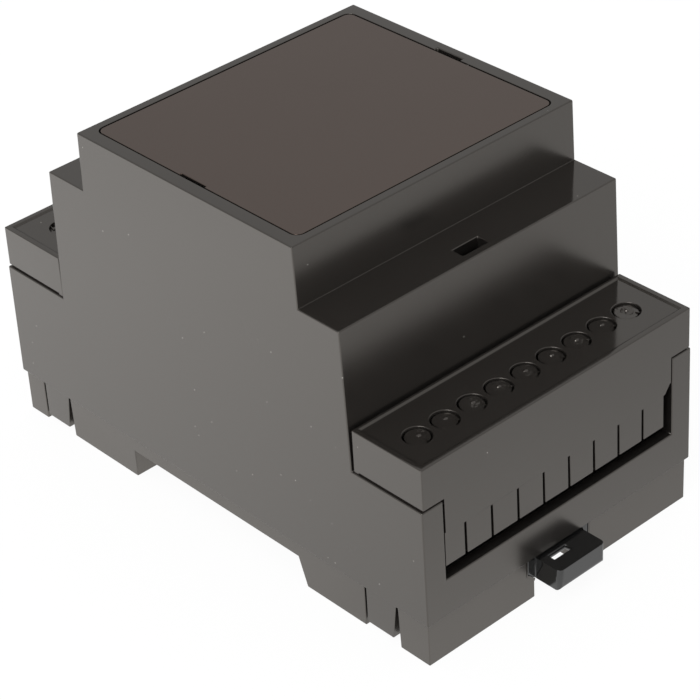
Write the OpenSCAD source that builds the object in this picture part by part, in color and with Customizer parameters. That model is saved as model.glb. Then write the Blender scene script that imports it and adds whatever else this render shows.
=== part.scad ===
// Stepped enclosure for electronics on a 35 mm mounting rail.
// X runs along the rail, Y across it and Z away from it.
// The origin is the middle of the rail recess, on the plane of the feet.

/* [Case] */
// Width over the side walls
case_w = 52.8; // [50:0.1:58]
// Length over the end walls, at their foot
case_l = 90.2; // [88:0.1:98]
// Height from the feet to the top frame
case_h = 57.7; // [55:0.1:66]
// Thickness of the housing's walls
wall = 2; // [1.6:0.1:2.4]
// How far each end wall leans in, from the band to the cover's top
end_draft = 0.25; // [0:0.05:0.5]

/* [Steps] */
// Length of the nose at its top
nose_l = 45; // [42:0.1:50]
// How far each end of the nose leans out towards its foot
nose_draft = 0.3; // [0:0.05:0.6]
// Height of the middle ledges
ledge_z = 48.3; // [44:0.1:50]
// Length over the middle ledges
mid_l = 61.4; // [58:0.1:64]
// How far each riser leans out, from the ledge to the cover
riser_draft = 0.5; // [0:0.05:0.8]
// Height of the terminal covers' top
cover_z = 33.1; // [31:0.1:38]
// Height of the seam under the terminal covers
seam_z = 26.3; // [25:0.1:28]
// Height at which the partitions under the risers end
partition_z = 20; // [16:0.5:23]
// Length of the latch holes in the ledges
latch_l = 4.8; // [3:0.1:8]
// Width of the latch holes
latch_w = 2.1; // [1.5:0.1:3]
// Strip of ledge left outside the latch holes
latch_edge = 1.4; // [1:0.1:3]

/* [Front panel] */
// Width of the frame's rim along the sides
rim_side = 2.15; // [1.6:0.05:3]
// Width of the frame's rim at the ends
rim_end = 1.35; // [1:0.05:3]
// Thickness of the panel
panel_t = 1.9; // [1.4:0.1:2.6]
// Corner radius of the panel
panel_r = 1.2; // [0.6:0.1:3]
// Gap between the panel and its frame
panel_gap = 0.25; // [0.15:0.05:0.4]
// How far the panel lies below the rim
panel_sink = 0.05; // [0:0.05:0.5]
// Width of the seat under the panel's edge
seat_w = 1.6; // [1.2:0.1:2.2]
// Thickness of that seat
seat_t = 1.6; // [1.2:0.1:2.5]
// Length of the pry notches
pry_l = 5.2; // [3:0.1:10]
// Depth of the pry notches
pry_d = 0.65; // [0.4:0.05:1]
// Shift of the pry notches along the panel
pry_shift = 0.3; // [-2:0.1:2]
// Length of the panel's snap legs below the panel
leg_h = 4.6; // [3:0.1:6]
// Width of the panel's snap legs
leg_w = 6; // [3:0.5:10]

/* [Terminal covers] */
// How far the covers' cheeks lie inside the side walls
cheek_inset = 0.25; // [0.1:0.05:0.5]
// Gap between a cover and the riser behind it
riser_gap = 0.2; // [0.1:0.05:0.5]
// Thickness of a cover's top plate under its rim
cover_t = 1.8; // [1.5:0.1:2.4]
// Thickness of a cover's cheeks and end plate
cheek_t = 1.6; // [1.2:0.1:2.2]
// Width of the rim round the top
cover_rim = 0.9; // [0.6:0.1:2]
// Height of that rim
cover_rim_h = 0.25; // [0.1:0.05:0.5]
// Groove along the seam under a cover
seam_groove = 0.3; // [0.1:0.05:0.5]
// Number of terminals, with a knock-out and a finger each
terminals = 9; // [5:1:9]
// Pitch of the knock-outs
knock_pitch = 5.08; // [4.8:0.01:5.1]
// Diameter of the knock-outs
knock_d = 4.2; // [3.4:0.1:4.6]
// Distance of the knock-outs from the end wall
knock_in = 6.55; // [5.5:0.05:8]
// Sideways shift of the row of knock-outs
knock_shift = -0.42; // [-0.6:0.01:0.6]
// Depth of a knock-out's well above its web
knock_well = 0.8; // [0.4:0.05:1]
// Width of the slit round a knock-out's web
knock_slit = 0.55; // [0.4:0.05:0.7]
// Width of the bridge that holds the web
knock_bridge = 2.6; // [1.4:0.1:3]
// Diameter of the dimple in the web
knock_dimple = 0.9; // [0.6:0.1:1.4]
// Width of the pillars beside the cable windows
pillar_w = 3.85; // [3:0.05:5]
// Height of the plain strip under the seam
strip_h = 5.4; // [3:0.1:6]
// Length of the break-out fingers
finger_l = 5.7; // [4:0.1:6.5]
// Gap between the fingers and the window's sill
sill_gap = 1.9; // [0.5:0.1:2.5]
// Pitch of the fingers
finger_pitch = 5.01; // [4.6:0.01:5.05]
// Slit between two fingers
finger_slit = 0.4; // [0.3:0.05:0.8]
// Sideways shift of the row of slits
finger_shift = -0.88; // [-1:0.01:1]
// Room beside the last finger
finger_room = 1.4; // [0.5:0.1:2]
// How far the fingers lie behind the strip
finger_sink = 0.25; // [0:0.05:0.5]

/* [Base] */
// Height of the lower band
band_h = 7.2; // [7.2:0.1:9]
// How far the band lies inside the housing's walls
band_inset = 0.45; // [0.2:0.05:0.8]
// Thickness of the band
band_t = 2.8; // [2.4:0.1:3.2]
// Thickness of the tray's floor
floor_t = 1.8; // [1.5:0.1:2.4]
// Width of the rail recess at its roof
rail_w = 36.6; // [36:0.1:38]
// Depth of the rail recess
rail_d = 4.6; // [4.4:0.1:5]
// How far the recess widens towards its mouth, on the clip's side
rail_lean = 1.6; // [0:0.1:2.5]
// Thickness of a rail's flange, with its clearance
flange_t = 1.2; // [1.1:0.05:1.5]
// Reach of the fixed hook over the rail
hook_d = 2; // [1.4:0.1:2.4]
// Length of the fixed hook
hook_l = 40; // [20:1:44]
// Height of the lip that centres the housing
lip_h = 2; // [1:0.1:4]
// Thickness of that lip
lip_t = 1.1; // [0.8:0.1:1.4]
// Diameter of the circuit board's screw posts
post_d = 6; // [5:0.1:7]
// Diameter of the posts' screw holes
post_hole_d = 2.4; // [2:0.1:3]
// Height of the posts above the floor
post_h = 6.6; // [5:0.1:9]
// Distance of the posts from the side walls
post_side = 7.9; // [7.6:0.1:9]
// Distance of the posts from the end walls
post_end = 8.1; // [7.5:0.1:10]

/* [Snap tabs] */
// Width of a snap tab at its root
tab_w = 5.9; // [4:0.1:7]
// How much narrower a tab is at its tip
tab_taper = 0.75; // [0:0.05:1.5]
// Slit beside a tab
tab_slit = 0.35; // [0.2:0.05:0.6]
// How far a tab's tip stays above the feet
tab_lift = 0.8; // [0.4:0.1:1.2]
// Depth of a tab's hook
tab_hook = 0.9; // [0.5:0.1:1.1]
// Distance of the rear tabs from the end wall
tab_rear_in = 5; // [4:0.1:8]
// Distance of the front tabs from the end wall
tab_front_in = 6.8; // [4:0.1:8]

/* [Board guides] */
// Distance of the guide slots from the middle
guide_y = 14; // [8:0.5:17]
// Width of a guide slot
guide_slot = 1.8; // [1.6:0.1:2.2]
// Thickness of the guide ribs
guide_t = 1.2; // [1:0.1:1.6]
// How far the guide ribs stand in
guide_d = 1.6; // [1:0.1:2]

/* [Rail clip] */
// Width of the clip's tongue and nose
clip_w = 9.2; // [8:0.1:11]
// Width over the clip's wings
wing_w = 12.2; // [11:0.1:14]
// Sideways shift of the clip
clip_shift = -0.65; // [-2:0.05:2]
// Height of the tongue's underside above the feet
clip_z = 3.2; // [3:0.1:3.6]
// How far the tongue stands out of the band
clip_out = 4.7; // [3:0.1:7]
// Height of the wings' lower edge above the feet
wing_z = 4.5; // [4:0.1:5.2]
// Clearance round the clip
clip_gap = 0.2; // [0.15:0.05:0.3]
// Reach of the nose under the rail
nose_reach = 2.1; // [1.4:0.1:2.4]
// Travel of the clip
clip_travel = 3.5; // [2.5:0.1:4]
// Length of the screwdriver slot
driver_l = 3.4; // [2:0.1:5]
// Width of the screwdriver slot
driver_w = 1.2; // [0.8:0.1:1.6]
// Sideways shift of the screwdriver slot on the tongue
driver_shift = -1.3; // [-2:0.1:2]

/* [Hidden] */
$fn = 48;

cut = 1; // how far a cutting shape runs past a face
half_w = case_w / 2;
half_l = case_l / 2;
inner_x = half_w - wall;
press = 0.1; // clearance between snapped mouldings

// Half lengths of the leaning walls at a height
function end_y(z) = half_l - end_draft * (z - band_h) / (cover_z - band_h);
function riser_y(z) = mid_l / 2 + riser_draft * (ledge_z - z) / (ledge_z - cover_z);
function nose_y(z) = nose_l / 2 + nose_draft * (case_h - z) / (case_h - ledge_z);
function reversed(p) = [for (i = [len(p) - 1 : -1 : 0]) p[i]];
function both(half) = concat(half, [for (p = reversed(half)) [-p[0], p[1]]]);

// A cross-section drawn in Y and Z, w long in X
module along_x(w, x = 0) {
  translate([x - w / 2, 0, 0])
    rotate([90, 0, 90])
      linear_extrude(w) children();
}

// A cross-section drawn in X and Z, running from y0 to y1
module along_y(y0, y1) {
  translate([0, y1, 0])
    rotate([90, 0, 0])
      linear_extrude(y1 - y0) children();
}

// A box over three ranges
module span(x, y, z) {
  translate([x[0], y[0], z[0]])
    cube([x[1] - x[0], y[1] - y[0], z[1] - z[0]]);
}

module both_sides() {
  children();
  mirror([1, 0, 0]) children();
}

module both_ends() {
  children();
  rotate([0, 0, 180]) children();
}

// A rectangle with round corners
module rounded(w, l, r) {
  square([w - 2 * r, l], center = true);
  square([w, l - 2 * r], center = true);
  for (x = [r - w / 2, w / 2 - r], y = [r - l / 2, l / 2 - r])
    translate([x, y]) circle(r);
}

// ---- Snap tabs: they hang from the housing and grip the base

tab_root = 0.5; // height over which a tab fills its slot
tab_y = [half_l - tab_rear_in, tab_w + tab_front_in - half_l]; // straight edges
tab_outer_x = half_w - band_inset;
hook_top = 2.4; // height of a hook's upper edge
hook_room = 0.3; // room above and behind a hook

module tab_outline(y) {
  polygon([
    [y + tab_slit, band_h + wall], [y + tab_slit, band_h - tab_root],
    [y, band_h - tab_root], [y, tab_lift],
    [y - tab_w + tab_taper, tab_lift], [y - tab_w, band_h - tab_root],
    [y - tab_w - tab_slit, band_h - tab_root], [y - tab_w - tab_slit, band_h + wall],
  ]);
}

module tab_slot_outline(y, z0) {
  polygon([
    [y + tab_slit, z0], [y + tab_slit, band_h + cut],
    [y - tab_w - tab_slit, band_h + cut], [y - tab_w - tab_slit, band_h - tab_root],
    [y - tab_w - tab_slit - tab_taper / 2, z0],
  ]);
}

module tab_hook() {
  polygon([
    [inner_x, hook_top], [inner_x - tab_hook, hook_top],
    [inner_x - tab_hook, hook_top - tab_hook / 2], [inner_x, tab_lift],
    [tab_outer_x, tab_lift], [tab_outer_x, hook_top],
  ]);
}

module snap_tab(y) {
  along_x(tab_outer_x - inner_x, (tab_outer_x + inner_x) / 2)
    tab_outline(y);
  along_y(y - tab_w + tab_taper, y)
    tab_hook();
}

// ---- Housing

panel_z = case_h - panel_sink; // top of the panel
seat_z = panel_z - panel_t;
frame_z = seat_z - seat_t;
frame_x = half_w - rim_side;
frame_y = nose_y(case_h) - rim_end;
window_x = half_w - pillar_w;
finger_z = seam_z - strip_h; // top of the fingers
finger_end_z = finger_z - finger_l;
sill_z = finger_end_z - sill_gap;
guide_z = band_h + lip_h + 1; // foot of the guide ribs

module side_outline() {
  polygon(both([
    [end_y(band_h), band_h], [end_y(seam_z), seam_z],
    [riser_y(seam_z), seam_z], [riser_y(ledge_z), ledge_z],
    [nose_y(ledge_z), ledge_z], [nose_y(case_h), case_h],
  ]));
}

module stepped_shell() {
  difference() {
    polygon(both([
      [riser_y(partition_z), partition_z], [riser_y(ledge_z), ledge_z],
      [nose_y(ledge_z), ledge_z], [nose_y(case_h), case_h],
    ]));
    polygon(both([
      [riser_y(partition_z - cut) - wall, partition_z - cut],
      [riser_y(ledge_z - wall) - wall, ledge_z - wall],
      [nose_y(ledge_z - wall) - wall, ledge_z - wall],
      [nose_y(frame_z) - wall, frame_z],
    ]));
  }
}

module end_wall_outline() {
  polygon([
    [end_y(band_h), band_h], [end_y(seam_z), seam_z],
    [end_y(seam_z) - wall, seam_z], [end_y(band_h) - wall, band_h],
  ]);
}

module guide_pair() {
  for (y = [-guide_slot / 2 - guide_t, guide_slot / 2])
    span([inner_x - guide_d, half_w - wall / 2], [y, y + guide_t], [guide_z, frame_z]);
}

// Cuts at one end: cable window and latch hole
module end_cuts() {
  span([-window_x, window_x], [half_l - wall - cut, half_l + cut], [sill_z, seam_z + cut]);
  latch_y = mid_l / 2 - latch_edge;
  span([-latch_l / 2, latch_l / 2], [latch_y - latch_w, latch_y], [ledge_z - wall - cut, ledge_z + cut]);
}

module housing() {
  color([0.15, 0.15, 0.14])
  difference() {
    union() {
      along_x(case_w) stepped_shell();
      both_ends()
        along_x(case_w) end_wall_outline();
      both_sides() {
        along_x(wall, half_w - wall / 2) side_outline();
        for (y = tab_y) snap_tab(y);
        for (y = [-guide_y, guide_y])
          translate([0, y, 0]) guide_pair();
      }
    }
    translate([0, 0, seat_z])
      linear_extrude(case_h)
        rounded(2 * frame_x, 2 * frame_y, panel_r + panel_gap);
    span(
      [seat_w - frame_x, frame_x - seat_w], [seat_w - frame_y, frame_y - seat_w],
      [frame_z - cut, case_h]
    );
    span(
      [frame_x - cut, frame_x + pry_d], [pry_shift - pry_l / 2, pry_shift + pry_l / 2],
      [seat_z, case_h + cut]
    );
    both_ends() end_cuts();
  }
}

// ---- Front panel

leg_t = 1.2; // thickness of a snap leg
leg_y = 11; // distance of the legs from the middle
leg_x = frame_x - seat_w - panel_gap;

module snap_leg() {
  along_y(-leg_w / 2, leg_w / 2)
    polygon([
      [leg_x, seat_z + panel_t / 2], [leg_x, seat_z - leg_h + leg_t / 2],
      [leg_x - leg_t / 2, seat_z - leg_h], [leg_x - leg_t, seat_z - leg_h],
      [leg_x - leg_t, seat_z + panel_t / 2],
    ]);
}

module front_panel() {
  color([0.26, 0.25, 0.24])
  difference() {
    union() {
      translate([0, 0, seat_z])
        linear_extrude(panel_t)
          rounded(2 * (frame_x - panel_gap), 2 * (frame_y - panel_gap), panel_r);
      both_sides()
        for (y = [-leg_y, leg_y])
          translate([0, y, 0]) snap_leg();
    }
    span(
      [-frame_x, pry_d - frame_x], [pry_shift - pry_l / 2, pry_shift + pry_l / 2],
      [seat_z - cut, panel_z + cut]
    );
  }
}

// ---- Terminal covers, drawn at the +Y end

cover_x = half_w - cheek_inset;
cover_y = riser_y(seam_z) + riser_gap; // edge next to the riser
label_z = cover_z - cover_rim_h;
plate_z = label_z - cover_t; // underside of the top plate
knock_y = half_l - knock_in;
web_z = label_z - knock_well; // top of a knock-out's web
comb_l = window_x - panel_gap; // half width of the strip
comb_end = comb_l - finger_room + panel_gap / 2;
finger_t = 1.2; // thickness of a finger
step_z = finger_z + finger_room; // the strip's edge beside the last finger
tongue_t = 1.2; // the tongues that slip inside the side walls
tongue_h = 3.5;
tongue_room = 3;

// Plate, end and strip in one bent section
module cover_section() {
  polygon([
    [cover_y, cover_z], [end_y(cover_z), cover_z], [end_y(finger_z), finger_z],
    [end_y(finger_z) - finger_sink, finger_z],
    [end_y(finger_end_z) - finger_sink, finger_end_z],
    [end_y(finger_end_z) - finger_sink - finger_t, finger_end_z],
    [end_y(finger_z) - finger_sink - finger_t, finger_z],
    [end_y(finger_z) - cheek_t, finger_z], [end_y(plate_z) - cheek_t, plate_z],
    [cover_y, plate_z],
  ]);
}

// Front view of the cover: full width above the seam, strip and comb below
module cover_front_view() {
  polygon([
    [-cover_x, seam_z], [-cover_x, cover_z], [cover_x, cover_z], [cover_x, seam_z],
    [comb_l, seam_z], [comb_l, finger_end_z],
    [-comb_end, finger_end_z], [-comb_end, finger_z], [-comb_l + panel_gap, step_z],
    [-comb_l, step_z], [-comb_l, seam_z],
  ]);
}

module cheek() {
  span([cover_x - cheek_t, cover_x], [cover_y, end_y(seam_z) - cheek_t / 2], [seam_z, label_z]);
  tongue_x = inner_x - press;
  span(
    [tongue_x - tongue_t, tongue_x], [cover_y + tongue_room, end_y(seam_z) - wall - tongue_room],
    [seam_z - tongue_h, plate_z + cover_t / 2]
  );
}

// The narrow groove round the foot of a cover
module seam_cut() {
  difference() {
    span([-half_w, half_w], [cover_y + cut, half_l + cut], [seam_z - cut, seam_z + seam_groove]);
    span(
      [-cover_x + seam_groove, cover_x - seam_groove],
      [cover_y, end_y(seam_z) - seam_groove], [0, case_h]
    );
    span([-comb_l, comb_l], [cover_y, half_l + 2 * cut], [0, case_h]);
  }
}

// A well, a web inside it and the slit round the web
module knock_out() {
  translate([0, 0, web_z])
    cylinder(d = knock_d, h = knock_well + cut);
  translate([0, 0, web_z - knock_dimple / 2])
    cylinder(d = knock_dimple, h = knock_dimple);
  difference() {
    translate([0, 0, plate_z - cut])
      cylinder(d = knock_d, h = cover_t + cut);
    cylinder(d = knock_d - 2 * knock_slit, h = case_h);
    span([-knock_bridge / 2, knock_bridge / 2], [0, knock_d], [0, case_h]);
  }
}

module terminal_cover() {
  color([0.15, 0.15, 0.14])
  difference() {
    union() {
      intersection() {
        along_x(case_w) cover_section();
        along_y(0, half_l + cut) cover_front_view();
      }
      both_sides() cheek();
    }
    span(
      [-cover_x + cover_rim, cover_x - cover_rim],
      [cover_y + cover_rim / 2, end_y(cover_z) - cover_rim], [label_z, cover_z + cut]
    );
    seam_cut();
    for (k = [0 : terminals - 1])
      translate([-knock_shift + knock_pitch * (k - (terminals - 1) / 2), knock_y, 0])
        knock_out();
    for (k = [1 : terminals - 1])
      translate([-finger_shift + finger_pitch * (k - terminals / 2) - finger_slit / 2, 0, 0])
        span([0, finger_slit], [cover_y, half_l + cut], [finger_end_z - cut, finger_z - finger_slit]);
  }
}

module terminal_cover_front() {
  rotate([0, 0, 180]) terminal_cover();
}

module terminal_cover_rear() {
  terminal_cover();
}

// ---- Base

band_x = half_w - band_inset;
band_y = half_l - band_inset;
rail_half = rail_w / 2;
rail_wall = 2; // thickness of the recess's side walls
roof_z = rail_d + floor_t;
hook_z = rail_d - flange_t; // underside of the rail's flange
lip_x = inner_x - press;
lip_y = half_l - wall - press;
catch_t = 2; // thickness of the wall that a tab grips
clip_top = band_h - clip_gap;
clip_half = clip_w / 2;
wing_half = wing_w / 2;
clip_end = rail_half + rail_lean + rail_wall + clip_gap; // rear end of the clip's slide
tunnel_wall = 1.6;
tooth_l = 1.6; // the tooth that stops the clip
tooth_w = 4;
tooth_h = 1.1;
tooth_in = 10.1; // distance of the tooth from the end wall
tooth_y = tooth_in - half_l;

module hat_outline() {
  polygon([
    [rail_half + rail_wall, 0], [rail_half + rail_wall, roof_z],
    [-rail_half - rail_wall, roof_z], [-rail_half - rail_wall - rail_lean, 0],
  ]);
}

module rail_outline() {
  lean = rail_lean / rail_d;
  polygon([
    [rail_half, -cut], [rail_half, rail_d],
    [-rail_half, rail_d], [-rail_half - lean * (rail_d + cut), -cut],
  ]);
}

module rail_hook_outline() {
  tip = hook_z - hook_d / 2;
  polygon([
    [rail_half + rail_wall / 2, hook_z], [rail_half - hook_d, hook_z],
    [rail_half - hook_d, tip], [rail_half, tip - hook_d], [rail_half + rail_wall / 2, tip - hook_d],
  ]);
}

module lip() {
  difference() {
    span([-lip_x, lip_x], [-lip_y, lip_y], [band_h - floor_t, band_h + lip_h]);
    span([lip_t - lip_x, lip_x - lip_t], [lip_t - lip_y, lip_y - lip_t], [0, case_h]);
  }
}

module screw_post() {
  cylinder(d = post_d, h = floor_t + post_h);
}

// The wall behind a snap tab
module catch_wall(y) {
  span(
    [lip_x - catch_t, lip_x], [y - tab_w - 2 * tab_slit - tab_taper, y + 2 * tab_slit],
    [0, band_h]
  );
}

// Room for a snap tab and its hook
module tab_room(y) {
  along_x(cut + wall, lip_x + (cut + wall) / 2)
    tab_slot_outline(y, -cut);
  hook_x = inner_x - tab_hook - hook_room;
  span([hook_x, half_w], [y - tab_w, y + tab_slit], [-cut, hook_top + hook_room]);
}

// Room for the clip's slide; the middle is open below
module slide_outline() {
  x0 = clip_half + clip_gap;
  x1 = wing_half + clip_gap;
  polygon(both([
    [x0, -cut], [x0, clip_z - clip_gap], [x1, wing_z - clip_gap], [x1, clip_top + clip_gap],
  ]));
}

module clip_tunnel() {
  x = wing_half + clip_gap + tunnel_wall;
  span([-x, x], [-lip_y, -rail_half - rail_wall], [0, band_h + tunnel_wall]);
}

module clip_cuts() {
  along_y(-half_l - cut, -clip_end) slide_outline();
  x0 = clip_half + clip_gap;
  span([-x0, x0], [-clip_end - cut, -rail_half + cut], [-cut, hook_z + clip_gap]);
  x1 = tooth_w / 2 + clip_gap;
  span(
    [-x1, x1], [tooth_y - clip_travel - clip_gap, tooth_y + tooth_l + clip_gap],
    [wing_z, band_h + 2 * tunnel_wall]
  );
}

module base() {
  color([0.13, 0.13, 0.12])
  difference() {
    union() {
      difference() {
        span([-band_x, band_x], [-band_y, band_y], [0, band_h]);
        span(
          [band_t - band_x, band_x - band_t], [band_t - band_y, band_y - band_t],
          [floor_t, band_h + cut]
        );
      }
      along_x(2 * band_x) hat_outline();
      lip();
      both_sides() {
        for (y = tab_y) catch_wall(y);
        for (y = [post_end - half_l, half_l - post_end])
          translate([half_w - post_side, y, 0]) screw_post();
      }
      translate([clip_shift, 0, 0]) clip_tunnel();
    }
    difference() {
      along_x(case_w) rail_outline();
      along_x(hook_l) rail_hook_outline();
    }
    both_sides() {
      for (y = tab_y) tab_room(y);
      for (y = [post_end - half_l, half_l - post_end])
        translate([half_w - post_side, y, floor_t])
          cylinder(d = post_hole_d, h = post_h + cut);
    }
    translate([clip_shift, 0, 0]) clip_cuts();
  }
}

// ---- Rail clip

tongue_z = clip_top - clip_gap; // top of the tongue
tongue_y = band_y + clip_out; // its front face
tongue_r = 0.8; // radius of its corners
edge_r = 1; // radius of its lower front edge
nose_t = hook_z - 1.2; // how much lower than the rail's flange the nose reaches
nose_y0 = -rail_half + nose_reach; // tip of the nose
nose_root = clip_end + 4;

module clip_slide() {
  along_y(-band_y, -clip_end)
    polygon(both([
      [clip_half, clip_z], [wing_half, wing_z], [wing_half, clip_top],
    ]));
}

module clip_tongue() {
  intersection() {
    translate([0, -clip_end, 0])
      linear_extrude(band_h)
        rounded(clip_w, 2 * (tongue_y - clip_end), tongue_r);
    along_x(clip_w)
      union() {
        translate([-tongue_y + edge_r, clip_z])
          square([clip_out + edge_r, tongue_z - clip_z]);
        translate([-tongue_y, clip_z + edge_r])
          square([clip_out, tongue_z - clip_z - edge_r]);
        translate([-tongue_y + edge_r, clip_z + edge_r])
          circle(edge_r);
      }
  }
}

// The leg behind the slide and the nose that reaches under the rail
module clip_nose() {
  along_x(clip_w)
    polygon([
      [-nose_root, clip_z + edge_r], [-nose_root, hook_z - nose_t],
      [nose_y0 - nose_t / 2, hook_z - nose_t], [nose_y0, hook_z - nose_t / 2],
      [nose_y0, hook_z], [-clip_end, hook_z], [-clip_end, clip_z + edge_r],
    ]);
}

module rail_clip() {
  color([0.05, 0.05, 0.05])
  translate([clip_shift, 0, 0])
    difference() {
      union() {
        clip_slide();
        clip_tongue();
        clip_nose();
        span(
          [-tooth_w / 2, tooth_w / 2], [tooth_y, tooth_y + tooth_l],
          [wing_z, clip_top + tooth_h]
        );
      }
      driver_y = -(band_y + tongue_y - 2 * tongue_r) / 2;
      span(
        [driver_shift - driver_l / 2, driver_shift + driver_l / 2],
        [driver_y - driver_w / 2, driver_y + driver_w / 2], [0, band_h]
      );
    }
}

housing();
base();
front_panel();
terminal_cover_front();
terminal_cover_rear();
rail_clip();
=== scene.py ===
"""Looks of the rail-mounted enclosure: crisp moulded edges, satin and textured black plastics."""
import math

import bmesh
import bpy
from mathutils import Matrix, Vector


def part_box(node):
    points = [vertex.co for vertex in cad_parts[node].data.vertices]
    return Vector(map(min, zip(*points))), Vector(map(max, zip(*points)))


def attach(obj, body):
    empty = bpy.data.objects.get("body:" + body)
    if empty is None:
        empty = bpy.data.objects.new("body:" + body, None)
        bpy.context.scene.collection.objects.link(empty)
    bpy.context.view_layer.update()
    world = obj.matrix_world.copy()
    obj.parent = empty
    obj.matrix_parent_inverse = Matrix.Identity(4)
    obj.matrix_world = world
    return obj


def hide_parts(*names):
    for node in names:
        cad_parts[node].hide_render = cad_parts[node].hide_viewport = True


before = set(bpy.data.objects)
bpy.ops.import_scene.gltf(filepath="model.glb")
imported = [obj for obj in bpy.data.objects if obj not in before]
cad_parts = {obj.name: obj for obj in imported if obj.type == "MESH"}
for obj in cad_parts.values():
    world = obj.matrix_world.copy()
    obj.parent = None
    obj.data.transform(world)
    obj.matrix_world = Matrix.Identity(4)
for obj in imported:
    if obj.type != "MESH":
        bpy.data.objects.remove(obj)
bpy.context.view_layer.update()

MM = 0.001
UP = Vector((0, 0, 1))


def placed(name, data):
    """A new object in the scene, at the origin."""
    piece = bpy.data.objects.new(name, data)
    bpy.context.scene.collection.objects.link(piece)
    return piece


def settle(piece):
    """Turns a piece's modifiers into its mesh."""
    depsgraph = bpy.context.evaluated_depsgraph_get()
    mesh = bpy.data.meshes.new_from_object(piece.evaluated_get(depsgraph), depsgraph=depsgraph)
    piece.modifiers.clear()
    piece.data = mesh


def finished_mesh(work, name):
    """The mesh that was being worked on, named and closed for further work."""
    mesh = bpy.data.meshes.new(name)
    work.to_mesh(mesh)
    work.free()
    return mesh


# ---- Camera

CAMERA_AT = Vector((-208.44, -242.99, 233.44)) * MM
LOOK_AT = Vector((-1.04, -3.43, 20.48)) * MM
CAMERA_ROLL = math.radians(-3.583)
LENS = 134.25


def make_camera():
    """A long lens that looks down on the clip's end and the large stepped side."""
    back = (CAMERA_AT - LOOK_AT).normalized()
    right = UP.cross(back).normalized()
    up = back.cross(right)
    turned_right = right * math.cos(CAMERA_ROLL) + up * math.sin(CAMERA_ROLL)
    turned_up = up * math.cos(CAMERA_ROLL) - right * math.sin(CAMERA_ROLL)
    data = bpy.data.cameras.new("camera")
    data.lens = LENS
    data.clip_start = 0.01
    data.clip_end = 20
    camera = placed("camera", data)
    turn = Matrix((turned_right, turned_up, back)).transposed()
    camera.matrix_world = Matrix.Translation(CAMERA_AT) @ turn.to_4x4()
    bpy.context.scene.camera = camera


# ---- Materials

class Amount:
    """A number on its way through a material; sums and products add Math nodes."""

    def __init__(self, paint, socket):
        self.paint = paint
        self.socket = socket

    def math(self, operation, other, swapped=False):
        pair = {0: other, 1: self} if swapped else {0: self, 1: other}
        return self.paint.node("ShaderNodeMath", {"operation": operation}, pair)

    def __add__(self, other):
        return self.math("ADD", other)

    __radd__ = __add__

    def __mul__(self, other):
        return self.math("MULTIPLY", other)

    __rmul__ = __mul__

    def __sub__(self, other):
        return self.math("SUBTRACT", other)

    def __rsub__(self, other):
        return self.math("SUBTRACT", other, swapped=True)

    def __gt__(self, other):
        return self.math("GREATER_THAN", other)

    def __lt__(self, other):
        return self.math("LESS_THAN", other)

    def within(self, low, high):
        return self.math("MAXIMUM", low).math("MINIMUM", high)


class Paint:
    """The node tree of one material, world or floor."""

    def __init__(self, owner):
        owner.use_nodes = True
        self.tree = owner.node_tree
        self.tree.nodes.clear()

    def node(self, kind, settings=None, inputs=None, out=0):
        """Adds a node, sets it, then gives its sockets values or links."""
        made = self.tree.nodes.new(kind)
        for key, value in (settings or {}).items():
            setattr(made, key, value)
        for key, value in (inputs or {}).items():
            if isinstance(value, Amount):
                self.tree.links.new(value.socket, made.inputs[key])
            else:
                made.inputs[key].default_value = value
        return Amount(self, made.outputs[out]) if made.outputs else None

    def noise(self, where, size, detail, roughness=0.5):
        """Soft noise whose lumps are about size metres across."""
        inputs = {"Vector": where, "Scale": 1 / size, "Detail": detail, "Roughness": roughness}
        return self.node("ShaderNodeTexNoise", {"noise_dimensions": "3D"}, inputs)

    def blend(self, share, first, second):
        """A colour between two others."""
        inputs = {0: share, 6: first, 7: second}
        return self.node("ShaderNodeMix", {"data_type": "RGBA"}, inputs, out=2)


def rgb(r, g, b):
    return (r, g, b, 1.0)


CLOUD_SIZE = 9 * MM  # broad, faint clouds in colour and gloss
CLOUD_LIGHTER = 1.3
CLOUD_ROUGHNESS = 0.08
GRAIN_ROUGHNESS = 0.05
DUST_SPACING = 2.4 * MM  # about one place for a speck in each such cube
DUST_REACH = 0.04  # radius of a speck, as a share of the spacing
DUST_COLOUR = (0.30, 0.29, 0.27)
FACES_UP = 0.9  # the normal's least height on a face that counts as facing up


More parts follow.
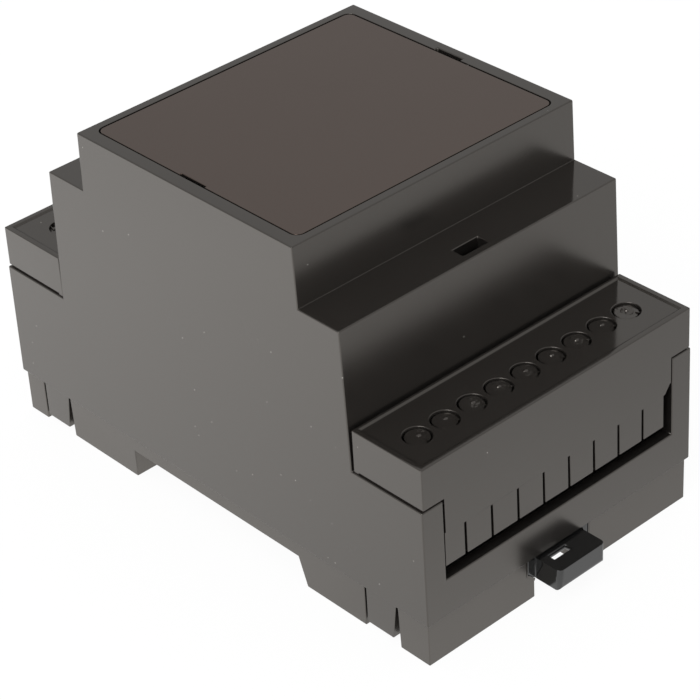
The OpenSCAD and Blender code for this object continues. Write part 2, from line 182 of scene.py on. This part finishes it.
def moulded_plastic(name, colour, gloss, grain, grain_height, ior, tint=(1, 1, 1), dust=0.0,
                    polished=None):
    """Black plastic: colour, roughness, size and height of the mould's grain, share of dust.

    polished is the roughness of what faces up, where that is smoother.
    """
    material = bpy.data.materials.new(name)
    paint = Paint(material)
    where = paint.node("ShaderNodeTexCoord", out=3)
    broad = paint.noise(where, CLOUD_SIZE, detail=3.0)
    fine = paint.noise(where, grain, detail=1.5, roughness=0.6)
    shade = paint.blend(broad, rgb(*colour), rgb(*(c * CLOUD_LIGHTER for c in colour)))
    if dust:
        cells = {"Vector": where, "Scale": 1 / DUST_SPACING, "Randomness": 1.0}
        near = paint.node("ShaderNodeTexVoronoi", {"feature": "F1"}, cells)
        pick = paint.node("ShaderNodeTexVoronoi", {"feature": "F1"}, cells, out=1)
        chosen = paint.node("ShaderNodeSeparateColor", {}, {0: pick})
        speck = (near < DUST_REACH) * (chosen < dust)
        shade = paint.blend(speck, shade, rgb(*DUST_COLOUR))
    roughness = gloss + (broad - 0.5) * CLOUD_ROUGHNESS + (fine - 0.5) * GRAIN_ROUGHNESS
    if polished is not None:
        facing = paint.node("ShaderNodeTexCoord", out=1)
        upwards = paint.node("ShaderNodeSeparateXYZ", {}, {0: facing}, out=2)
        roughness = roughness + (upwards > FACES_UP) * (polished - gloss)
    bump_inputs = {"Height": fine, "Distance": grain_height, "Strength": 1.0}
    normal = paint.node("ShaderNodeBump", {}, bump_inputs)
    skin = paint.node("ShaderNodeBsdfPrincipled", {}, {
        "Base Color": shade, "Roughness": roughness, "Normal": normal,
        "Specular IOR Level": 1.0, "IOR": ior, "Specular Tint": rgb(*tint),
    })
    paint.node("ShaderNodeOutputMaterial", {}, {"Surface": skin})
    return material


BLACK = (0.0112, 0.0100, 0.0092)
WARM = (1.0, 0.93, 0.85)
SATIN = moulded_plastic(
    "satin_black_moulding", BLACK, gloss=0.25, grain=0.16 * MM, grain_height=0.0012 * MM,
    ior=1.6, tint=WARM, dust=0.14, polished=0.10)
PANEL = moulded_plastic(
    "smooth_panel_moulding", BLACK, gloss=0.16, grain=0.5 * MM, grain_height=0.0006 * MM,
    ior=1.68, tint=(1.0, 0.74, 0.62), dust=0.06)
TEXTURED = moulded_plastic(
    "spark_eroded_moulding", (0.015, 0.0135, 0.012), gloss=0.36, grain=0.22 * MM,
    grain_height=0.02 * MM, ior=1.66, tint=WARM, dust=0.04)
GLOSSY = moulded_plastic(
    "gloss_black_moulding", (0.008, 0.008, 0.008), gloss=0.12, grain=0.4 * MM,
    grain_height=0.001 * MM, ior=1.5)
TORN = moulded_plastic(
    "bright_broken_plastic", BLACK, gloss=0.09, grain=0.8 * MM, grain_height=0.035 * MM,
    ior=1.6, tint=WARM)


# ---- Moulded pieces: each CAD solid with its edges slightly rounded

FLAT = math.radians(1)  # faces that meet at less than this are one face
SHARP = math.radians(34)  # an edge is rounded where its faces meet at more than this
SAME_WAY = 0.999999
MERGE_WITHIN = 0.002 * MM
ROUNDED_SHARE = 0.3  # the most that a rounding takes of a short edge beside it
EDGE_WIDTHS = {
    "housing": 0.2 * MM, "base": 0.14 * MM, "front_panel": 0.18 * MM,
    "terminal_cover_front": 0.16 * MM, "terminal_cover_rear": 0.16 * MM, "rail_clip": 0.2 * MM,
}


def find_spike(work):
    """A face's corner whose two edges run the same way, or None."""
    for face in work.faces:
        for loop in face.loops:
            tip = loop.vert.co
            before = loop.link_loop_prev.vert.co - tip
            after = loop.link_loop_next.vert.co - tip
            if before.normalized().dot(after.normalized()) > SAME_WAY:
                return loop
    return None


def cut_spike(work, loop):
    """Takes a spike of no width off its face and joins the faces on its two sides."""
    tip, face = loop.vert, loop.face
    near, far = sorted(
        (loop.link_loop_prev.vert, loop.link_loop_next.vert),
        key=lambda vertex: (vertex.co - tip.co).length)
    long_edge = work.edges.get((tip, far))
    share = (near.co - tip.co).length / (far.co - tip.co).length
    between = bmesh.utils.edge_split(long_edge, tip, share)[1]
    ring = [corner.vert for corner in face.loops if corner.vert not in (tip, between)]
    bmesh.ops.delete(work, geom=[face], context="FACES_ONLY")
    work.faces.new(ring)
    bmesh.ops.weld_verts(work, targetmap={between: near})


def join_flat_faces(work):
    bmesh.ops.dissolve_limit(work, angle_limit=FLAT, verts=work.verts, edges=work.edges)


def merged_copy(node):
    """The CAD solid as one closed mesh of whole faces."""
    work = bmesh.new()
    work.from_mesh(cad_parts[node].data)
    bmesh.ops.remove_doubles(work, verts=work.verts, dist=MERGE_WITHIN)
    join_flat_faces(work)
    while spike := find_spike(work):
        cut_spike(work, spike)
    join_flat_faces(work)
    return work


def edge_room(edge):
    """The shortest edge that meets this one: a rounding may take only part of it."""
    others = [e.calc_length() for v in edge.verts for e in v.link_edges if e is not edge]
    return min(others + [edge.calc_length()])


def rounded_piece(node, material, body, name, shape=None):
    """A copy of a CAD solid with rounded edges, shown in its place.

    shape is a function that changes the copy before its edges are rounded.
    """
    width = EDGE_WIDTHS[node]
    work = merged_copy(node)
    if shape:
        shape(work)
    weights = work.edges.layers.float.new("bevel_weight_edge")
    for edge in work.edges:
        if len(edge.link_faces) == 2 and edge.calc_face_angle(0) > SHARP:
            edge[weights] = min(1.0, ROUNDED_SHARE * edge_room(edge) / width)
    mesh = finished_mesh(work, name)
    piece = placed(name, mesh)
    rounding = piece.modifiers.new("rounding", "BEVEL")
    rounding.limit_method = "WEIGHT"
    rounding.width = width
    rounding.segments = 2
    rounding.use_clamp_overlap = False
    even = piece.modifiers.new("even", "WEIGHTED_NORMAL")
    even.keep_sharp = True
    even.weight = 100
    mesh.shade_smooth()
    settle(piece)
    piece.data.materials.clear()
    piece.data.materials.append(material)
    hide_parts(node)
    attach(piece, body)


# ---- Rail clip: its hollow tongue, and the lips of its channel

CLIP_SHIFT = -0.65 * MM  # the clip lies this far to one side of the middle
CLIP_HALF = 4.6 * MM
CLIP_WALL = 1.2 * MM
CLIP_PLATE = 0.9 * MM
CLIP_CORE_END = -24 * MM
CLIP_CORE_FOOT = -1 * MM  # below the feet, so that the core cuts through
CLIP_FOOT = 3.2 * MM
TONGUE_TOP = 6.8 * MM
WING_HALF = 6.1 * MM
WING_FOOT = 4.5 * MM
CHANNEL_GAP = 0.2 * MM
BAND_END = -44.65 * MM  # the band's face at the clip's end
LIP_DEPTH = 0.6 * MM
LIP_ROOM = 0.03 * MM  # left between the clip and the lips


def box_mesh(low, high, name):
    """A closed box over two corners."""
    work = bmesh.new()
    bmesh.ops.create_cube(work, size=1)
    middle = (Vector(low) + Vector(high)) / 2
    reach = Vector(high) - Vector(low)
    for vertex in work.verts:
        vertex.co = middle + Vector(c * r for c, r in zip(vertex.co, reach))
    return finished_mesh(work, name)


def hollow_clip(work):
    """Takes the core out of the clip's tongue from below, as its mould does."""
    clip_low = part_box("rail_clip")[0]
    half = CLIP_HALF - CLIP_WALL
    core = box_mesh(
        (CLIP_SHIFT - half, clip_low[1] + CLIP_WALL, CLIP_CORE_FOOT),
        (CLIP_SHIFT + half, CLIP_CORE_END, TONGUE_TOP - CLIP_PLATE), "clip_core")
    whole = bpy.data.meshes.new("clip_whole")
    work.to_mesh(whole)
    body = placed("clip_whole", whole)
    cutter = placed("clip_core", core)
    cut = body.modifiers.new("core", "BOOLEAN")
    cut.operation = "DIFFERENCE"
    cut.solver = "EXACT"
    cut.object = cutter
    settle(body)
    work.clear()
    work.from_mesh(body.data)
    join_flat_faces(work)
    for piece in (body, cutter):
        bpy.data.objects.remove(piece)


def join_rings(work, first, second):
    """A band of four-sided faces between two rings of corners."""
    for k in range(len(first)):
        n = (k + 1) % len(first)
        work.faces.new((first[k], first[n], second[n], second[k]))


def channel_lips():
    """Two thin lips that close most of the gap under the clip's wings at the band."""
    section = [(CLIP_HALF + LIP_ROOM, CLIP_FOOT - LIP_ROOM),
               (WING_HALF + LIP_ROOM, WING_FOOT - LIP_ROOM),
               (WING_HALF + LIP_ROOM, TONGUE_TOP), (WING_HALF + CHANNEL_GAP, TONGUE_TOP),
               (WING_HALF + CHANNEL_GAP, WING_FOOT - 2 * CHANNEL_GAP),
               (CLIP_HALF + CHANNEL_GAP, CLIP_FOOT - 2 * CHANNEL_GAP)]
    work = bmesh.new()
    for side in (-1, 1):
        outer, inner = (
            [work.verts.new((CLIP_SHIFT + side * x, y, z)) for x, z in section]
            for y in (BAND_END, BAND_END + LIP_DEPTH))
        work.faces.new(outer)
        work.faces.new(inner)
        join_rings(work, outer, inner)
    bmesh.ops.recalc_face_normals(work, faces=work.faces)
    mesh = finished_mesh(work, "channel_lips")
    lips = placed("channel_lips", mesh)
    mesh.materials.append(TEXTURED)
    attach(lips, "case")


# ---- Labels: the recess of each cover has sloping sides

RECESS_X = 25.25 * MM
RECESS_Y = (32.07 * MM, 43.95 * MM)
RECESS_FLOOR = 32.85 * MM
RECESS_TOP = 33.09 * MM
SLOPE_REACH = 0.27 * MM


def label_slope(name, body, end):
    """A ring of triangular section that leans on the recess's walls.

    end is -1 at the clip's end and 1 at the other.
    """
    low, high = sorted(end * y for y in RECESS_Y)
    work = bmesh.new()

    def ring(inset, z):
        x = RECESS_X - inset
        corners = ((-x, low + inset), (x, low + inset), (x, high - inset), (-x, high - inset))
        return [work.verts.new((cx, cy, z)) for cx, cy in corners]

    rim = ring(0, RECESS_TOP)
    foot = ring(0, RECESS_FLOOR)
    toe = ring(SLOPE_REACH, RECESS_FLOOR)
    for first, second in ((rim, foot), (foot, toe), (toe, rim)):
        join_rings(work, first, second)
    bmesh.ops.recalc_face_normals(work, faces=work.faces)
    mesh = finished_mesh(work, name)
    slope = placed(name, mesh)
    mesh.materials.append(SATIN)
    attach(slope, body)


# ---- Knock-outs: each web is a small tilted flap with a ridge, a pip and two torn burrs

KNOCK_COUNT = 9
KNOCK_PITCH = 5.08 * MM
KNOCK_X = -0.42 * MM  # the row's middle lies this far to one side
KNOCK_Y = 38.55 * MM
WEB_MIDDLE = 32.31 * MM  # height of the webs
WEB_ASIDE = 0.16 * MM  # each web sags this far away from its bridge
WEB_RADIUS = 1.76 * MM
WEB_THICK = 0.3 * MM
WEB_TILT = 0.03
WEB_TURN = math.radians(-40)
WEB_UNEVEN = (0.07, 0.07, 0.5)  # the most that chance turns a web about each axis
WORN_EDGE = 0.08 * MM

RIDGE_RADIUS = 0.95 * MM
RIDGE_AT = (0.12 * MM, 0.15 * MM, 0.1 * MM)
RIDGE_LEAN = (0.10, -0.09, 0.0)
BRIDGE_SIZE = (2.0 * MM, 1.3 * MM, WEB_THICK)
BRIDGE_AT = (0.0, -1.55 * MM, -0.02 * MM)
PIP_RADIUS = 0.42 * MM
PIP_AT = (0.15 * MM, 0.2 * MM, 0.14 * MM)
PIP_SCALE = (1.0, 0.75, 0.8)
BURR_TIP = 0.02 * MM
BURR_FOOT = 0.26 * MM
BURR_LENGTH = 0.9 * MM
BURRS = (  # place and lean of each burr
    ((1.35 * MM, -0.35 * MM, 0.08 * MM), (1.1, 0.2, 0.5)),
    ((-0.15 * MM, 1.25 * MM, 0.1 * MM), (0.3, 1.35, 0.2)),
)
KNOCK_SIZES = (
    ("Count", "NodeSocketInt"), ("Pitch", "NodeSocketFloat"), ("Start", "NodeSocketVector"),
    ("Radius", "NodeSocketFloat"), ("Tilt", "NodeSocketFloat"), ("Turn", "NodeSocketFloat"),
    ("Seed", "NodeSocketInt"), ("Material", "NodeSocketMaterial"),
)


def knock_row_group():
    """Geometry nodes: a row of webs, each turned a little by chance."""
    group = bpy.data.node_groups.new("knock_out_webs", "GeometryNodeTree")
    sockets = group.interface
    sockets.new_socket("Geometry", in_out="INPUT", socket_type="NodeSocketGeometry")
    for name, kind in KNOCK_SIZES:
        sockets.new_socket(name, in_out="INPUT", socket_type=kind)
    sockets.new_socket("Geometry", in_out="OUTPUT", socket_type="NodeSocketGeometry")

    def add(kind, inputs=None, out=0, **settings):
        """Adds a node, sets it, gives its sockets values or links, and returns an output."""
        made = group.nodes.new(kind)
        for key, value in settings.items():
            setattr(made, key, value)
        for key, value in (inputs or {}).items():
            if isinstance(value, bpy.types.NodeSocket):
                group.links.new(value, made.inputs[key])
            else:
                made.inputs[key].default_value = value
        return made.outputs[out] if made.outputs else None

    def moved(mesh, place, lean=(0, 0, 0), scale=(1, 1, 1)):
        return add("GeometryNodeTransform", {
            "Geometry": mesh, "Translation": place, "Rotation": lean, "Scale": scale})

    sizes = group.nodes.new("NodeGroupInput").outputs
    disc = add("GeometryNodeMeshCylinder", {
        "Vertices": 36, "Radius": sizes["Radius"], "Depth": WEB_THICK})
    ridge = add("GeometryNodeMeshCylinder", {
        "Vertices": 26, "Radius": RIDGE_RADIUS, "Depth": WEB_THICK})
    bridge = add("GeometryNodeMeshCube", {"Size": BRIDGE_SIZE})
    pip = add("GeometryNodeMeshUVSphere", {"Segments": 14, "Rings": 8, "Radius": PIP_RADIUS})
    burr = add("GeometryNodeMeshCone", {
        "Vertices": 5, "Radius Top": BURR_TIP, "Radius Bottom": BURR_FOOT,
        "Depth": BURR_LENGTH})
    forms = [disc, moved(ridge, RIDGE_AT, RIDGE_LEAN), moved(bridge, BRIDGE_AT),
             moved(pip, PIP_AT, scale=PIP_SCALE)]
    forms += [moved(burr, place, lean) for place, lean in BURRS]
    web = group.nodes.new("GeometryNodeJoinGeometry")
    for form in forms:
        group.links.new(form, web.inputs["Geometry"])

    step = add("ShaderNodeCombineXYZ", {"X": sizes["Pitch"]})
    line = add("GeometryNodeMeshLine", {
        "Count": sizes["Count"], "Start Location": sizes["Start"], "Offset": step},
        mode="OFFSET")
    chance = add("FunctionNodeRandomValue", {
        0: tuple(-turn for turn in WEB_UNEVEN), 1: WEB_UNEVEN, "Seed": sizes["Seed"]},
        data_type="FLOAT_VECTOR")
    tilt = add("ShaderNodeCombineXYZ", {"X": sizes["Tilt"], "Z": sizes["Turn"]})
    turned = add("ShaderNodeVectorMath", {0: tilt, 1: chance}, operation="ADD")
    row = add("GeometryNodeInstanceOnPoints", {
        "Points": line, "Instance": web.outputs["Geometry"], "Rotation": turned})
    real = add("GeometryNodeRealizeInstances", {"Geometry": row})
    skin = add("GeometryNodeSetMaterial", {"Geometry": real, "Material": sizes["Material"]})
    add("NodeGroupOutput", {"Geometry": skin})
    return group


def knock_out_webs(group, name, body, end, seed):
    """One cover's row of webs; end is -1 at the clip's end and 1 at the other."""
    piece = placed(name, bpy.data.meshes.new(name))
    maker = piece.modifiers.new("webs", "NODES")
    maker.node_group = group
    reach = (KNOCK_COUNT - 1) / 2 * KNOCK_PITCH
    values = {
        "Count": KNOCK_COUNT, "Pitch": KNOCK_PITCH, "Radius": WEB_RADIUS,
        "Start": (-end * (KNOCK_X + WEB_ASIDE) - reach, end * (KNOCK_Y - WEB_ASIDE), WEB_MIDDLE),
        "Tilt": WEB_TILT, "Turn": WEB_TURN + (math.pi if end > 0 else 0.0), "Seed": seed,
        "Material": TORN,
    }
    for socket in group.interface.items_tree:
        if socket.in_out == "INPUT" and socket.name in values:
            maker[socket.identifier] = values[socket.name]
    worn = piece.modifiers.new("worn_edges", "BEVEL")
    worn.width = WORN_EDGE
    worn.segments = 2
    settle(piece)
    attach(piece, body)


# ---- Studio

SKY = 0.8
MIRRORED_SKY = 0.48
FLOOR_REACH = 2.0
PAPER = (0.9, 0.9, 0.9)
FLOOR_SEEN = 1.02
PAINTED_FLOOR_LIGHT_MIDDLE = 0.93  # painted light: the paper's glow in a mirror, at the middle
PAINTED_FLOOR_LIGHT_FALLOFF = 2.2  # how much of that painted light is lost in each metre to the right and front
# limits of the painted light that mirrors show on the paper
PAINTED_FLOOR_LIGHT_LIMITS = (0.66, 1.22)
GLOW_SEEN = 0.92  # share of the glow in what is seen; the rest keeps the shadow
GLOW_MIRRORED = 0.95


def make_world():
    """A white surround that the glossy plastic mirrors a good deal darker from above."""
    world = bpy.data.worlds.new("white_studio")
    paint = Paint(world)
    seen = paint.node("ShaderNodeLightPath", out=0)
    mirrored = paint.node("ShaderNodeLightPath", out=3)
    strength = SKY + seen * (1 - SKY) + mirrored * (MIRRORED_SKY - SKY)
    sky = paint.node("ShaderNodeBackground", {}, {"Color": rgb(1, 1, 1), "Strength": strength})
    paint.node("ShaderNodeOutputWorld", {}, {"Surface": sky})
    bpy.context.scene.world = world


def make_floor():
    """White paper with the object's soft shadow; what a mirror shows of it is painted light,
    brighter on its left side.
    """
    mesh = bpy.data.meshes.new("floor")
    corners = [(x * FLOOR_REACH, y * FLOOR_REACH, 0)
               for x, y in ((-1, -1), (1, -1), (1, 1), (-1, 1))]
    mesh.from_pydata(corners, [], [(0, 1, 2, 3)])
    material = bpy.data.materials.new("white_paper")
    paint = Paint(material)
    where = paint.node("ShaderNodeTexCoord", out=3)
    across = paint.node("ShaderNodeSeparateXYZ", {}, {0: where})
    along = paint.node("ShaderNodeSeparateXYZ", {}, {0: where}, out=1)
    # painted light: the paper's glow seen in a mirror is brighter on the left and fades to the
    # right and front, as if lit by the left lamp
    painted_floor_light = (PAINTED_FLOOR_LIGHT_MIDDLE - (across - along) * PAINTED_FLOOR_LIGHT_FALLOFF).within(*PAINTED_FLOOR_LIGHT_LIMITS)
    seen = paint.node("ShaderNodeLightPath", out=0)
    mirrored = paint.node("ShaderNodeLightPath", out=3)
    paper = paint.node("ShaderNodeBsdfDiffuse", {}, {"Color": rgb(*PAPER)})
    strength = FLOOR_SEEN + mirrored * (painted_floor_light - FLOOR_SEEN)
    glow = paint.node("ShaderNodeEmission", {}, {"Color": rgb(1, 1, 1), "Strength": strength})
    share = seen * GLOW_SEEN + mirrored * GLOW_MIRRORED
    mixed = paint.node("ShaderNodeMixShader", {}, {0: share, 1: paper, 2: glow})
    paint.node("ShaderNodeOutputMaterial", {}, {"Surface": mixed})
    mesh.materials.append(material)
    placed("floor", mesh)


def soft_lamp(name, place, size, power):
    """A square lamp that faces the object."""
    data = bpy.data.lights.new(name, "AREA")
    data.shape = "SQUARE"
    data.size = size
    data.energy = power
    lamp = placed(name, data)
    lamp.location = place
    lamp.rotation_euler = (-Vector(place)).to_track_quat("-Z", "Y").to_euler()


# ---- The whole object

make_camera()
rounded_piece("housing", SATIN, "case", "housing_moulding")
rounded_piece("base", TEXTURED, "case", "base_moulding")
rounded_piece("front_panel", PANEL, "panel", "panel_moulding")
rounded_piece(
    "terminal_cover_front", SATIN, "cover_front", "front_cover_moulding")
rounded_piece(
    "terminal_cover_rear", SATIN, "cover_rear", "rear_cover_moulding")
rounded_piece("rail_clip", GLOSSY, "clip", "clip_moulding", shape=hollow_clip)
channel_lips()
label_slope("label_slope_front", "cover_front", end=-1)
label_slope("label_slope_rear", "cover_rear", end=1)
webs = knock_row_group()
knock_out_webs(webs, "knock_out_webs_front", "cover_front", end=-1, seed=3)
knock_out_webs(webs, "knock_out_webs_rear", "cover_rear", end=1, seed=8)
make_world()
make_floor()
soft_lamp("left_lamp", place=(-0.9, -0.3, 0.8), size=0.7, power=6)
bpy.context.scene.view_settings.view_transform = "Standard"
